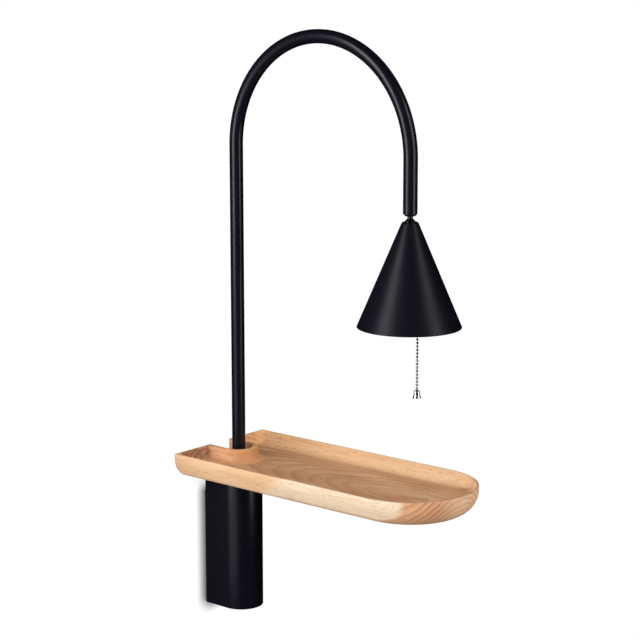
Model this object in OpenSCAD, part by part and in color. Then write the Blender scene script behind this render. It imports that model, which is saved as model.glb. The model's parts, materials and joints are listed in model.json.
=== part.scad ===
// Wall lamp with a wooden shelf.
// The wall is the plane Y = 0 and the lamp stands out towards -Y, with +X to the right and +Z up.
// The origin is on the wall, in the middle of the wall box.

/* [Wall box] */
// Width of the box on the wall
box_w = 52; // [50:1:60]
// How far the box stands out, its half-round front included
box_d = 61; // [58:1:75]
// Height of the box
box_h = 167; // [160:1:220]
// Thickness of the box's shell
shell_t = 1.5; // [1:0.1:1.8]
// Thickness of the box's base
base_t = 2.5; // [2.2:0.1:4]
// Thickness of the steel wall plate
wall_plate_t = 2; // [1.5:0.1:3]
// Distance between the wall screws, side to side
wall_screw_dx = 30; // [28:1:32]
// Distance between the wall screws, up and down
wall_screw_dz = 120; // [116:1:124]
// Diameter of the wall screws' holes
wall_screw_hole = 5; // [4:0.1:5.5]
// Bore of the cable inlet
inlet_bore = 7; // [5:0.5:8]

/* [Tray] */
// Length of the tray, from the wall to the tip of its round end
tray_l = 370; // [300:1:420]
// Width of the tray
tray_w = 156; // [144:1:190]
// Height of the tray
tray_h = 31; // [29:1:38]
// Depth of the tray's hollow
hollow_depth = 15; // [12:0.5:16]
// Thickness of the tray's rim
rim_t = 3; // [2:0.5:6]
// Radius between the tray's side and its underside
side_r = 26; // [15:1:27]
// Radius between the hollow's walls and its floor
floor_r = 10; // [5:1:11]
// Width of the slot that the arm stands in
slot_w = 34; // [32:1:42]
// Thickness of the lip round the slot
lip_t = 6; // [4:0.5:9]
// Width of the steel plate under the tray
tray_plate_w = 80; // [76:1:88]
// Length of the steel plate under the tray
tray_plate_l = 150; // [120:1:200]
// Thickness of the steel plate under the tray
tray_plate_t = 3; // [2.5:0.1:4]

/* [Arm] */
// Diameter of the arm's tube
tube_d = 16; // [15:0.5:17]
// Thickness of the tube's wall
tube_t = 1.5; // [1:0.1:1.7]
// Distance from the wall to the middle of the upright
arm_out = 32; // [30:1:34]
// Radius of the arch, to the middle of the tube
arch_r = 129; // [110:1:150]
// Height of the upright, from the tray's rim to the start of the arch
arm_rise = 364; // [320:1:420]
// Length of the straight drop, from the arch to the tip of the ball joint's ring
arm_drop = 62; // [40:1:80]
// Turn of the arm each way
arm_turn = 75; // [30:1:80]
// Length of the sleeve that the upright turns in
socket_h = 93.5; // [85:0.5:96]
// Diameter of the cable in the arm
cable_d = 3.8; // [3:0.1:4]

/* [Ball joint] */
// Diameter of the ball
ball_d = 12; // [11.6:0.1:12.2]
// Diameter of the neck below the ball
neck_d = 6; // [5.4:0.1:6.2]
// Height of the gap between the ring's tip and the shade
neck_h = 6.5; // [6.2:0.1:10]
// Diameter of the collar on the shade
collar_d = 12.4; // [11:0.1:14]

/* [Shade] */
// Diameter of the shade's flat top
shade_top_d = 18; // [16:0.5:24]
// Diameter of the shade's rim
shade_d = 117; // [116:1:140]
// Height of the shade
shade_h = 117; // [112:1:124]
// Thickness of the shade's metal
shade_t = 1; // [0.8:0.1:1.2]

/* [Bulb and switch] */
// Diameter of the bulb's cover
bulb_d = 15; // [13:0.5:16]
// Length of the bulb below its socket
bulb_l = 44; // [36:1:46]
// Distance from the middle of the shade to the pull chain
chain_x = 15; // [14.8:0.1:15.4]
// Travel of the pull switch
pull_travel = 8; // [4:0.5:8.5]
// Diameter of the chain's beads
bead_d = 3; // [2.4:0.1:3.2]
// Distance from bead to bead
bead_pitch = 4; // [3.6:0.1:5]
// Number of beads above the fob
bead_count = 26; // [12:1:32]
// Height of the fob
fob_h = 9; // [8:0.5:14]
// Diameter of the fob's mouth
fob_d = 10; // [8:0.1:12]

/* [Hidden] */
$fn = 96;
eps = 0.01;

// Clearances
turn_gap = 0.05;     // radial play of a shaft that turns in a bush
ball_gap = 0.08;     // play between the ball and its seat
part_gap = 0.5;      // room round a part that is let in
pin_gap = 0.07;      // radial play of the chain's small pins
cut = 1;             // how far a cutter runs past a face

// Heights
box_top = box_h / 2;
box_bottom = -box_h / 2;
plate_top = box_top + tray_plate_t;
rim_z = box_top + tray_h;
floor_z = rim_z - hollow_depth;
arch_z = rim_z + arm_rise;
ring_tip_z = arch_z - arm_drop;
shade_top_z = ring_tip_z - neck_h;
shade_rim_z = shade_top_z - shade_h;

// Wall box
inner_w = box_w - 2 * shell_t;
wall_plate_w = inner_w - 2 * part_gap;
base_top = box_bottom + base_t;
wall_plate_z = base_top + part_gap;
tab_w = 28;
tab_l = 20;
base_screw_d = 4;
base_screw_head_d = 7;
base_screw_x = 8;
base_screw_y = -12;
gusset_t = 2;
gusset_x = inner_w / 2 - part_gap - 3;
gusset_l = 40;
gusset_h = 53.5;
inlet_z = box_bottom + 51.5;
grommet_hole_d = inlet_bore + 5;
grommet_flange_d = inlet_bore + 10;
grommet_flange_t = 2.5;
earth_x = -17;
earth_z = box_bottom + 53.5;

// Arm socket
tube_r = tube_d / 2;
bush_r = tube_r + 1.5;
socket_r = bush_r + 2;
socket_z = box_top - socket_h;
bush_l = 18;
bush_flange_t = 1.5;
upper_flange_r = bush_r + 3.5;
washer_t = 1.5;
foot_gap = 1;
tube_foot_z = socket_z - bush_flange_t - foot_gap;
foot_plate_t = 2;
foot_plate_z = tube_foot_z - washer_t - foot_plate_t;
foot_hole_d = 9;
stop_pin_d = 3;
stop_pin_z = socket_z + 40;
stop_pin_tip = socket_r - 0.2;
stop_play = 1;
stop_half_angle = arm_turn + asin(stop_pin_d / 2 / bush_r) + stop_play;
brake_z = socket_z + 26;
brake_d = 5;
brake_pad_l = 2.2;
brake_screw_l = 4;
brake_key_d = 2.5;

// Wiring in the box
cable_r = cable_d / 2;
lead_y = -wall_plate_t - 8;
lead_bend = (arm_out + lead_y) / 2;
lead_bend_z = foot_plate_z - 4;
terminal_w = 19;
terminal_h = 18;
terminal_d = 13;
terminal_z = box_bottom + 11.5;
terminal_screw_d = 3.6;
clamp_h = 6;
clamp_w = 18;
clamp_z = terminal_z + terminal_h + 2;
clamp_screw_d = 3;
clamp_screw_head_d = 5.2;
clamp_screw_x = 6;

// Tray
tray_screw_x = tray_plate_w / 2 - 8;
tray_screw_y = [18, tray_plate_l - 18];
tray_screw_d = 4;
tray_screw_head_d = 8;
insert_d = 6.4;
insert_l = 9;
tray_screw_tip = 7.5;
lip_r = slot_w / 2 + lip_t;
end_y = -(tray_l - tray_w / 2);
hollow_reach = tray_w / 2 - rim_t;
plate_corner_r = 10;

// Ball joint, measured along the tube's drop
head_y = -(arm_out + 2 * arch_r);
ball_r = ball_d / 2;
ball_z = ring_tip_z + 5.5;
seat_r = ball_r + ball_gap;
ring_lip_r = 4.6;
ring_lip_z = ball_z - sqrt(seat_r * seat_r - ring_lip_r * ring_lip_r);
ring_mouth_r = 5;
ring_tip_r = 5.4;
ring_bevel_h = 2.6;
ring_h = 18.5;
ring_bore_r = seat_r;
tube_end_z = ring_tip_z + ring_h;
cup_r = ring_bore_r - turn_gap;
cup_low_z = ball_z + 1;
cup_top_z = ball_z + ball_r + 2;
cup_hole_r = 3.9;
spring_washer_t = 1;
joint_body_z = cup_top_z + spring_washer_t;
joint_body_l = 18;
joint_bore_r = 3;
cable_bore_r = cable_r + 0.2;
cable_end_z = ball_z + ball_r + 1;
flare_z = ball_z - 7;
collar_h = 1;

// Lamp bracket and what hangs on it
stem_d = 8;
stem_z = shade_top_z - 38;
nut_af = 12;
nut_h = 3;
bracket_t = 1.2;
bracket_z = shade_top_z - 45;
bracket_top_z = bracket_z + 12;
bracket_side_x = -13;
bracket_top_l = 22;
bracket_top_w = 16;
bracket_base_w = 18;
socket_w = 13;
socket_l = 19;
lamp_socket_h = 18;
socket_screw_d = 3;
socket_screw_x = -4;
socket_screw_y = 6.5;
socket_screw_l = 8;
screw_head_h = 1.8;
bulb_top_z = bracket_z - lamp_socket_h;
bulb_base_h = 11;
bulb_pin_d = 1.2;
bulb_pin_y = 4.5;
bulb_pin_l = 8;
bulb_cover_t = 0.8;
led_core_d = 8;

// Pull switch
switch_w = 14;
switch_l = 20;
switch_floor = 2;
switch_well_d = 8.4;
spout_d = 7;
spout_l = 8;
slider_rod_d = 1.8;
slider_head_d = 7.8;
slider_head_h = 2;
spring_h = pull_travel + 4;
switch_well_h = spring_h + slider_head_h + 2.5;
switch_h = switch_floor + switch_well_h + 3.5;
switch_z = bracket_z - switch_h;
switch_screw_x = chain_x + 3;
switch_screw_y = -6;
wire_d = 1.6;
wire_y = 5;
wire_x = 3;

// Links between the switch's slider and the chain
link_pin_d = 1.1;
link_eye_d = 3.2;
link_eye_w = 1.8;
link_cheek_t = 0.8;
link_cheek_in = link_eye_w / 2 + 0.25;
link_w = 3;
link_web_t = 1.2;
link_reach = link_eye_d / 2 + 0.3;
pivot_x_z = switch_z - spout_l - 3;
pivot_y_z = pivot_x_z - 5;
wire_link_d = 0.7;
first_bead_z = pivot_y_z - link_reach - link_web_t - 3.1;
fob_top_z = first_bead_z - (bead_count - 1) * bead_pitch - bead_d / 2 - 0.15;
fob_wall = 0.6;

black = "#17171b";
wood = "#e2b37f";
steel = "#b8bcc0";
nickel = "#c9c7c1";
brass = "#c9a55c";
white = "#f1f0ec";
nylon = "#dcdcd2";
rubber = "#2b2b2b";

// Shared shapes

// Outline with flat sides from the wall and a half-round front
module d_outline(w, d) {
    translate([-w / 2, -(d - w / 2)]) square([w, d - w / 2]);
    translate([0, -(d - w / 2)]) circle(d = w);
}

// Rod along Y, from the wall side outwards
module rod_y(d, from, to) {
    translate([0, -from, 0]) rotate([90, 0, 0]) cylinder(d = d, h = to - from);
}

// Rod along X, centred
module rod_x(d, l) {
    rotate([0, 90, 0]) cylinder(d = d, h = l, center = true);
}

// Round tube standing on z
module ring(r_out, r_in, z, h) {
    translate([0, 0, z]) difference() {
        cylinder(r = r_out, h = h);
        translate([0, 0, -cut]) cylinder(r = r_in, h = h + 2 * cut);
    }
}

module hex_nut(z) {
    translate([0, 0, z]) difference() {
        cylinder(d = nut_af / cos(30), h = nut_h, $fn = 6);
        translate([0, 0, -cut]) cylinder(d = stem_d, h = nut_h + 2 * cut);
    }
}

module at_arm() { translate([0, -arm_out, 0]) children(); }

module at_head() { translate([0, head_y, 0]) children(); }

module at_chain() { translate([chain_x, head_y, 0]) children(); }

module at_wall_screws() {
    for (x = [-1, 1], z = [-1, 1])
        translate([x * wall_screw_dx / 2, 0, z * wall_screw_dz / 2]) children();
}

module at_tray_screws() {
    for (x = [-1, 1], y = tray_screw_y)
        translate([x * tray_screw_x, -y, 0]) children();
}

// Solid along the arm's centre line: upright, arch and drop, from foot_z to end_z
module along_arm(foot_z, end_z) {
    translate([0, 0, foot_z]) linear_extrude(arch_z - foot_z) children();
    translate([0, -arch_r, arch_z]) rotate([90, 0, 90])
        rotate_extrude(angle = 180) translate([arch_r, 0]) children();
    translate([0, -2 * arch_r, end_z]) linear_extrude(arch_z - end_z) children();
}

// Wall box

module wall_plate() {
    color(steel) difference() {
        union() {
            translate([-wall_plate_w / 2, -wall_plate_t, wall_plate_z])
                cube([wall_plate_w, wall_plate_t, box_top - wall_plate_z]);
            translate([-tab_w / 2, -wall_plate_t - tab_l, wall_plate_z])
                cube([tab_w, tab_l + wall_plate_t, wall_plate_t]);
        }
        at_wall_screws() rod_y(wall_screw_hole, -cut, wall_plate_t + cut);
        translate([0, 0, inlet_z]) rod_y(grommet_hole_d, -cut, wall_plate_t + cut);
        translate([earth_x, 0, earth_z]) rod_y(base_screw_d, -cut, wall_plate_t + cut);
        for (side = [-1, 1])
            translate([side * base_screw_x, base_screw_y, wall_plate_z - cut])
                cylinder(d = base_screw_d, h = wall_plate_t + 2 * cut);
    }
}

module gussets() {
    color(steel) for (side = [-1, 1])
        translate([side * gusset_x - gusset_t / 2, 0, 0]) rotate([90, 0, 90])
            linear_extrude(gusset_t) polygon([
                [-wall_plate_t, box_top],
                [-wall_plate_t - gusset_l, box_top],
                [-wall_plate_t, box_top - gusset_h]
            ]);
}

module housing() {
    color(black) translate([0, 0, box_bottom]) linear_extrude(box_h) difference() {
        d_outline(box_w, box_d);
        d_outline(inner_w, box_d - shell_t);
        translate([-inner_w / 2, -cut]) square([inner_w, 2 * cut]);
    }
}

module base_screw(gap = 0) {
    head_h = (base_screw_head_d - base_screw_d) / 2;
    translate([0, 0, box_bottom - eps])
        cylinder(d = base_screw_d, h = base_t + part_gap + wall_plate_t + gap);
    translate([0, 0, box_bottom]) cylinder(d1 = base_screw_head_d, d2 = base_screw_d, h = head_h);
}

module housing_base() {
    color(black) difference() {
        translate([0, 0, box_bottom]) linear_extrude(base_t) d_outline(inner_w, box_d - shell_t);
        for (side = [-1, 1]) translate([side * base_screw_x, base_screw_y, 0]) {
            base_screw(cut);
            translate([0, 0, box_bottom - cut]) cylinder(d = base_screw_head_d, h = cut + eps);
        }
    }
}

module housing_screws() {
    key_d = 2.5;
    color(steel) for (side = [-1, 1]) translate([side * base_screw_x, base_screw_y, 0]) difference() {
        base_screw(2);
        translate([0, 0, box_bottom - cut]) cylinder(d = key_d, h = cut + 1.2, $fn = 6);
        translate([0, 0, box_bottom - cut]) cylinder(d = base_screw_head_d, h = cut);
    }
}

module inlet_grommet() {
    color(rubber) translate([0, 0, inlet_z]) difference() {
        union() {
            rod_y(grommet_hole_d, 0, wall_plate_t);
            rod_y(grommet_flange_d, wall_plate_t, wall_plate_t + grommet_flange_t);
        }
        rod_y(inlet_bore, -cut, wall_plate_t + grommet_flange_t + cut);
    }
}

module earth_screw() {
    head_d = 7.5;
    washer_d = 9;
    color(brass) translate([earth_x, 0, earth_z]) difference() {
        union() {
            rod_y(base_screw_d, 0, wall_plate_t + 4);
            rod_y(washer_d, wall_plate_t, wall_plate_t + 1);
            rod_y(head_d, wall_plate_t + 1.5, wall_plate_t + 4.5);
        }
        translate([-head_d, -wall_plate_t - 6, -0.5]) cube([2 * head_d, 3, 1]);
    }
}

module terminal_block() {
    color(white) difference() {
        translate([-terminal_w / 2, -wall_plate_t - terminal_d, terminal_z])
            cube([terminal_w, terminal_d, terminal_h]);
        at_terminal_screws() rod_y(terminal_screw_d, wall_plate_t + 5, wall_plate_t + terminal_d + cut);
    }
}

module at_terminal_screws() {
    for (x = [-1, 1], z = [-1, 1])
        translate([x * terminal_w / 4, 0, terminal_z + terminal_h / 2 + z * 5]) children();
}

module terminal_screws() {
    slot = 0.8;
    color(brass) at_terminal_screws() difference() {
        rod_y(terminal_screw_d, wall_plate_t + 5, wall_plate_t + terminal_d - 1);
        translate([-terminal_screw_d, -wall_plate_t - terminal_d, -slot / 2])
            cube([2 * terminal_screw_d, 2, slot]);
    }
}

module at_clamp_screws() {
    for (side = [-1, 1]) translate([side * clamp_screw_x, 0, clamp_z + clamp_h / 2]) children();
}

module cable_clamp() {
    color(nylon) difference() {
        translate([-clamp_w / 2, -wall_plate_t - terminal_d, clamp_z])
            cube([clamp_w, terminal_d, clamp_h]);
        translate([0, lead_y, clamp_z - cut]) cylinder(r = cable_r, h = clamp_h + 2 * cut);
        at_clamp_screws() rod_y(clamp_screw_d, wall_plate_t, wall_plate_t + terminal_d + cut);
    }
}

module clamp_screws() {
    face = wall_plate_t + terminal_d;
    color(steel) at_clamp_screws() {
        rod_y(clamp_screw_d, wall_plate_t, face);
        rod_y(clamp_screw_head_d, face, face + screw_head_h);
    }
}

// From the foot of the upright, down and back to the terminals
module lamp_lead() {
    turn_z = lead_bend_z - 2 * lead_bend;
    color(rubber) {
        translate([0, -arm_out, lead_bend_z])
            cylinder(r = cable_r, h = tube_foot_z - part_gap - lead_bend_z);
        translate([0, -arm_out + lead_bend, lead_bend_z]) rotate([90, 0, 90]) rotate([0, 0, 180])
            rotate_extrude(angle = 90) translate([lead_bend, 0]) circle(r = cable_r);
        translate([0, -arm_out + lead_bend, turn_z]) rotate([90, 0, 90])
            rotate_extrude(angle = 90) translate([lead_bend, 0]) circle(r = cable_r);
        translate([0, lead_y, terminal_z + terminal_h])
            cylinder(r = cable_r, h = turn_z - terminal_z - terminal_h);
    }
}

// Arm socket

module arm_socket() {
    color(steel) at_arm() difference() {
        ring(socket_r, bush_r, socket_z, socket_h);
        translate([0, 0, stop_pin_z]) rotate([0, 0, -90 - stop_half_angle])
            rotate_extrude(angle = 2 * stop_half_angle)
                translate([bush_r - 1, -stop_pin_d / 2 - part_gap])
                    square([4, stop_pin_d + 2 * part_gap]);
        translate([0, 0, brake_z]) rod_y(brake_d, 0, socket_r + cut);
    }
}

module upper_bush() {
    color(nylon) at_arm() {
        ring(upper_flange_r, tube_r + turn_gap, plate_top, bush_flange_t);
        ring(bush_r, tube_r + turn_gap, plate_top - bush_l, bush_l);
    }
}

module lower_bush() {
    color(nylon) at_arm() {
        ring(socket_r, tube_r + turn_gap, socket_z - bush_flange_t, bush_flange_t);
        ring(bush_r, tube_r + turn_gap, socket_z, bush_l);
    }
}

module foot_bracket() {
    foot_w = 24;
    leg_h = 22;
    color(steel) {
        translate([0, 0, foot_plate_z]) linear_extrude(foot_plate_t) difference() {
            translate([0, -wall_plate_t]) d_outline(foot_w, arm_out - wall_plate_t + foot_w / 2);
            translate([0, -arm_out]) circle(d = foot_hole_d);
        }
        translate([-foot_w / 2, -wall_plate_t - foot_plate_t, foot_plate_z])
            cube([foot_w, foot_plate_t, leg_h]);
    }
}

module thrust_washer() {
    color(nylon) at_arm() ring(tube_r + 2, foot_hole_d / 2, tube_foot_z - washer_t, washer_t);
}

module brake_pad() {
    color(nylon) at_arm() difference() {
        translate([0, 0, brake_z]) rod_y(brake_d, 0, tube_r + brake_pad_l);
        translate([0, 0, brake_z - brake_d]) cylinder(r = tube_r + turn_gap, h = 2 * brake_d);
    }
}

module tension_screw() {
    from = tube_r + brake_pad_l;
    color(steel) at_arm() translate([0, 0, brake_z]) difference() {
        rod_y(brake_d, from, from + brake_screw_l);
        translate([0, -from - brake_screw_l + 2, 0]) rotate([90, 0, 0])
            cylinder(d = brake_key_d, h = 2 + cut, $fn = 6);
    }
}

// Tray

module tray_plate_outline(grow) {
    half = tray_plate_w / 2 + grow;
    corner = plate_corner_r + grow;
    end = tray_plate_l + grow;
    translate([-half, corner - end]) square([2 * half, end - corner]);
    translate([corner - half, -end]) square([2 * (half - corner), corner]);
    for (side = [-1, 1]) translate([side * (half - corner), corner - end]) circle(r = corner);
}

module tray_screw() {
    head_h = (tray_screw_head_d - tray_screw_d) / 2;
    translate([0, 0, box_top]) cylinder(d = tray_screw_d, h = tray_plate_t + tray_screw_tip);
    translate([0, 0, box_top]) cylinder(d1 = tray_screw_head_d, d2 = tray_screw_d, h = head_h);
}

module tray_plate() {
    color(black) difference() {
        translate([0, 0, box_top]) linear_extrude(tray_plate_t) tray_plate_outline(0);
        at_arm() translate([0, 0, box_top - cut]) cylinder(r = bush_r, h = tray_plate_t + 2 * cut);
        at_tray_screws() {
            tray_screw();
            translate([0, 0, box_top - cut]) cylinder(d = tray_screw_head_d, h = cut + eps);
        }
    }
}

module tray_screws() {
    key_d = 2.5;
    color(steel) at_tray_screws() difference() {
        tray_screw();
        translate([0, 0, box_top - cut]) cylinder(d = key_d, h = cut + 1.4, $fn = 6);
    }
}

module tray_inserts() {
    color(brass) at_tray_screws() ring(insert_d / 2, tray_screw_d / 2, plate_top, insert_l);
}

// Half of the tray's outer section, with its round side
module side_half() {
    square([tray_w / 2 - side_r, tray_h]);
    translate([0, side_r]) square([tray_w / 2, tray_h - side_r]);
    intersection() {
        translate([tray_w / 2 - side_r, side_r]) circle(r = side_r);
        square([tray_w / 2, side_r]);
    }
}

module tray_body() {
    rotate([90, 0, 0]) linear_extrude(-end_y) {
        side_half();
        mirror([1, 0]) side_half();
    }
    translate([0, end_y, 0]) rotate([0, 0, 180]) rotate_extrude(angle = 180) side_half();
}

// Strip along the hollow's edge: the wall and the fillet to the floor
module hollow_edge() {
    translate([0, floor_r]) square([floor_r, hollow_depth + cut - floor_r]);
    intersection() {
        translate([0, floor_r]) circle(r = floor_r);
        square(floor_r);
    }
}

// Half of the hollow's section
module hollow_half() {
    square([hollow_reach - floor_r, hollow_depth + cut]);
    translate([hollow_reach - floor_r, 0]) hollow_edge();
}

module tray_hollow() {
    back_y = -rim_t - floor_r;
    corner_x = hollow_reach - floor_r;
    translate([0, back_y, 0]) rotate([90, 0, 0]) linear_extrude(back_y - end_y) {
        hollow_half();
        mirror([1, 0]) hollow_half();
    }
    translate([0, end_y, 0]) rotate([0, 0, 180]) rotate_extrude(angle = 180) hollow_half();
    translate([-corner_x, back_y, 0]) rotate([90, 0, 90]) linear_extrude(2 * corner_x) hollow_edge();
    translate([corner_x, back_y, 0]) rotate_extrude(angle = 90) hollow_edge();
    translate([-corner_x, back_y, 0]) rotate([0, 0, 90]) rotate_extrude(angle = 90) hollow_edge();
}

// Half of the section of the wood that stands round the slot
module lip_half() {
    square([lip_r, hollow_depth + 2 * cut]);
    difference() {
        square([lip_r + floor_r, floor_r]);
        translate([lip_r + floor_r, floor_r]) circle(r = floor_r);
    }
}

module slot_lip() {
    rotate([90, 0, 0]) linear_extrude(arm_out) {
        lip_half();
        mirror([1, 0]) lip_half();
    }
    at_arm() rotate([0, 0, 180]) rotate_extrude(angle = 180) lip_half();
}

module tray() {
    color(wood) difference() {
        translate([0, 0, box_top]) tray_body();
        translate([0, 0, floor_z]) difference() {
            tray_hollow();
            slot_lip();
        }
        translate([0, 0, box_top - cut]) linear_extrude(tray_h + 2 * cut) {
            at_arm() circle(d = slot_w);
            translate([-slot_w / 2, -arm_out]) square([slot_w, arm_out + cut]);
        }
        translate([0, 0, box_top - cut]) linear_extrude(tray_plate_t + cut) {
            tray_plate_outline(part_gap);
            translate([-tray_plate_w / 2 - part_gap, -cut])
                square([tray_plate_w + 2 * part_gap, 2 * cut]);
        }
        at_tray_screws() translate([0, 0, plate_top - cut]) cylinder(d = insert_d, h = insert_l + cut);
    }
}

// Arm

module arm_tube() {
    color(black) difference() {
        at_arm() along_arm(tube_foot_z, tube_end_z) difference() {
            circle(r = tube_r);
            circle(r = tube_r - tube_t);
        }
        at_arm() translate([0, 0, stop_pin_z]) rod_y(stop_pin_d, 0, tube_r + cut);
    }
}

module stop_pin() {
    color(steel) at_arm() translate([0, 0, stop_pin_z])
        rod_y(stop_pin_d, tube_r - tube_t - 1, stop_pin_tip);
}

module arm_cable() {
    color(rubber) at_arm() along_arm(tube_foot_z, cable_end_z) circle(r = cable_r);
}

module joint_body() {
    nose_h = tube_end_z - joint_body_z;
    color(steel) at_head() {
        ring(ring_bore_r, joint_bore_r, joint_body_z, nose_h);
        ring(tube_r - tube_t, joint_bore_r, tube_end_z, joint_body_l - nose_h);
    }
}

module joint_ring() {
    color(black) at_head() difference() {
        union() {
            translate([0, 0, ring_tip_z]) cylinder(r1 = ring_tip_r, r2 = tube_r, h = ring_bevel_h);
            translate([0, 0, ring_tip_z + ring_bevel_h])
                cylinder(r = tube_r, h = ring_h - ring_bevel_h);
        }
        translate([0, 0, ball_z]) sphere(r = seat_r);
        translate([0, 0, ball_z]) cylinder(r = ring_bore_r, h = ring_h);
        translate([0, 0, ring_tip_z - eps])
            cylinder(r1 = ring_mouth_r, r2 = ring_lip_r, h = ring_lip_z - ring_tip_z + 2 * eps);
    }
}

module spring_washer() {
    color(steel) at_head() ring(cup_r, cup_hole_r, cup_top_z, spring_washer_t);
}

module joint_cup() {
    color(nylon) at_head() difference() {
        ring(cup_r, cup_hole_r, cup_low_z, cup_top_z - cup_low_z);
        translate([0, 0, ball_z]) sphere(r = ball_r + turn_gap);
    }
}

// Head

module ball_stem() {
    color(black) at_head() difference() {
        union() {
            translate([0, 0, ball_z]) sphere(r = ball_r);
            translate([0, 0, flare_z]) cylinder(d = neck_d, h = ball_z - flare_z);
            translate([0, 0, shade_top_z + collar_h])
                cylinder(d1 = collar_d, d2 = neck_d, h = flare_z - shade_top_z - collar_h);
            translate([0, 0, shade_top_z]) cylinder(d = collar_d, h = collar_h);
            translate([0, 0, stem_z]) cylinder(d = stem_d, h = shade_top_z - stem_z);
        }
        translate([0, 0, stem_z - cut])
            cylinder(r = cable_bore_r, h = ball_z + ball_r - stem_z + 2 * cut);
    }
}

module stem_cable() {
    color(rubber) at_head() translate([0, 0, bracket_z])
        cylinder(r = cable_r, h = ball_z + ball_r - 0.2 - bracket_z);
}

module shade() {
    slope = (shade_d - shade_top_d) / 2 / shade_h;
    wall = shade_t * sqrt(1 + slope * slope);
    under_top = shade_top_d / 2 + slope * shade_t - wall;
    color(black) at_head() rotate_extrude() polygon([
        [stem_d / 2, shade_top_z],
        [shade_top_d / 2, shade_top_z],
        [shade_d / 2, shade_rim_z],
        [shade_d / 2 - wall, shade_rim_z],
        [under_top, shade_top_z - shade_t],
        [stem_d / 2, shade_top_z - shade_t]
    ]);
}

module shade_nut() {
    color(steel) at_head() hex_nut(shade_top_z - shade_t - nut_h);
}

module bracket_nuts() {
    color(steel) at_head() {
        hex_nut(bracket_top_z + bracket_t);
        hex_nut(bracket_top_z - nut_h);
    }
}

module at_socket_screws() {
    for (side = [-1, 1]) translate([socket_screw_x, side * socket_screw_y, bracket_z]) children();
}

module lamp_bracket() {
    reach = chain_x + switch_w / 2 + 1;
    color(steel) at_head() difference() {
        union() {
            translate([bracket_side_x, -bracket_top_w / 2, bracket_top_z])
                cube([bracket_top_l, bracket_top_w, bracket_t]);
            translate([bracket_side_x, -bracket_top_w / 2, bracket_z])
                cube([bracket_t, bracket_top_w, bracket_top_z + bracket_t - bracket_z]);
            translate([bracket_side_x, -bracket_base_w / 2, bracket_z])
                cube([reach - bracket_side_x, bracket_base_w, bracket_t]);
        }
        translate([0, 0, bracket_top_z - cut]) cylinder(d = stem_d, h = bracket_t + 2 * cut);
        translate([0, 0, bracket_z - cut]) cylinder(r = cable_bore_r, h = bracket_t + 2 * cut);
        at_socket_screws() translate([0, 0, -cut])
            cylinder(d = socket_screw_d, h = bracket_t + 2 * cut);
        translate([switch_screw_x, switch_screw_y, bracket_z - cut])
            cylinder(d = socket_screw_d, h = bracket_t + 2 * cut);
        for (x = [wire_x, chain_x]) translate([x, wire_y, bracket_z - cut])
            cylinder(d = wire_d + 0.4, h = bracket_t + 2 * cut);
    }
}

module pan_screw(l) {
    translate([0, 0, -l]) cylinder(d = socket_screw_d, h = l + bracket_t);
    translate([0, 0, bracket_t]) cylinder(d = 1.8 * socket_screw_d, h = screw_head_h);
}

module socket_screws() {
    color(steel) at_head() at_socket_screws() pan_screw(socket_screw_l);
}

module switch_screw() {
    color(steel) at_head() translate([switch_screw_x, switch_screw_y, bracket_z]) pan_screw(2.8);
}

module lamp_socket() {
    color(white) at_head() difference() {
        translate([-socket_w / 2, -socket_l / 2, bulb_top_z]) cube([socket_w, socket_l, lamp_socket_h]);
        at_socket_screws() translate([0, 0, -socket_screw_l])
            cylinder(d = socket_screw_d, h = socket_screw_l + cut);
        for (side = [-1, 1]) translate([0, side * bulb_pin_y, bulb_top_z - cut])
            cylinder(d = bulb_pin_d + 0.2, h = bulb_pin_l + cut + 0.5);
    }
}

module bulb_base() {
    disc_h = 4;
    color(white) at_head() {
        translate([0, 0, bulb_top_z - bulb_base_h]) cylinder(d = bulb_d, h = disc_h);
        translate([-bulb_d / 3, -bulb_d * 0.45, bulb_top_z - bulb_base_h + disc_h])
            cube([bulb_d / 1.5, bulb_d * 0.9, bulb_base_h - disc_h]);
    }
}

module bulb_pins() {
    color(steel) at_head() for (side = [-1, 1])
        translate([0, side * bulb_pin_y, bulb_top_z]) cylinder(d = bulb_pin_d, h = bulb_pin_l);
}

module bulb_shape(r, length) {
    translate([0, 0, -length + r]) cylinder(r = r, h = length - r);
    translate([0, 0, -length + r]) sphere(r = r);
}

module bulb_cover() {
    cover_l = bulb_l - bulb_base_h;
    color(white, 0.6) at_head() translate([0, 0, bulb_top_z - bulb_base_h]) difference() {
        bulb_shape(bulb_d / 2, cover_l);
        difference() {
            bulb_shape(bulb_d / 2 - bulb_cover_t, cover_l - bulb_cover_t);
            cylinder(d = bulb_d, h = cut);
        }
    }
}

module led_core() {
    core_l = bulb_l - bulb_base_h - 8;
    color("#e9d9a0") at_head() translate([0, 0, bulb_top_z - bulb_base_h - core_l])
        cylinder(d = led_core_d, h = core_l);
}

// Pull switch

module switch_body() {
    color(black) at_head() difference() {
        translate([chain_x - switch_w / 2, -switch_l / 2, switch_z])
            cube([switch_w, switch_l, switch_h]);
        translate([chain_x, 0, switch_z + switch_floor]) cylinder(d = switch_well_d, h = switch_well_h);
        translate([chain_x, 0, switch_z - cut]) cylinder(d = spout_d, h = switch_floor + cut + eps);
        translate([switch_screw_x, switch_screw_y, bracket_z - 2.8])
            cylinder(d = socket_screw_d, h = 2.8 + cut);
    }
}

module switch_spout() {
    color(brass) at_chain()
        ring(spout_d / 2, slider_rod_d / 2 + 0.3, switch_z - spout_l, spout_l + switch_floor);
}

module switch_spring() {
    color(steel) at_chain()
        ring(slider_head_d / 2 - 0.4, slider_rod_d / 2 + 0.9, switch_z + switch_floor, spring_h);
}

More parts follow.
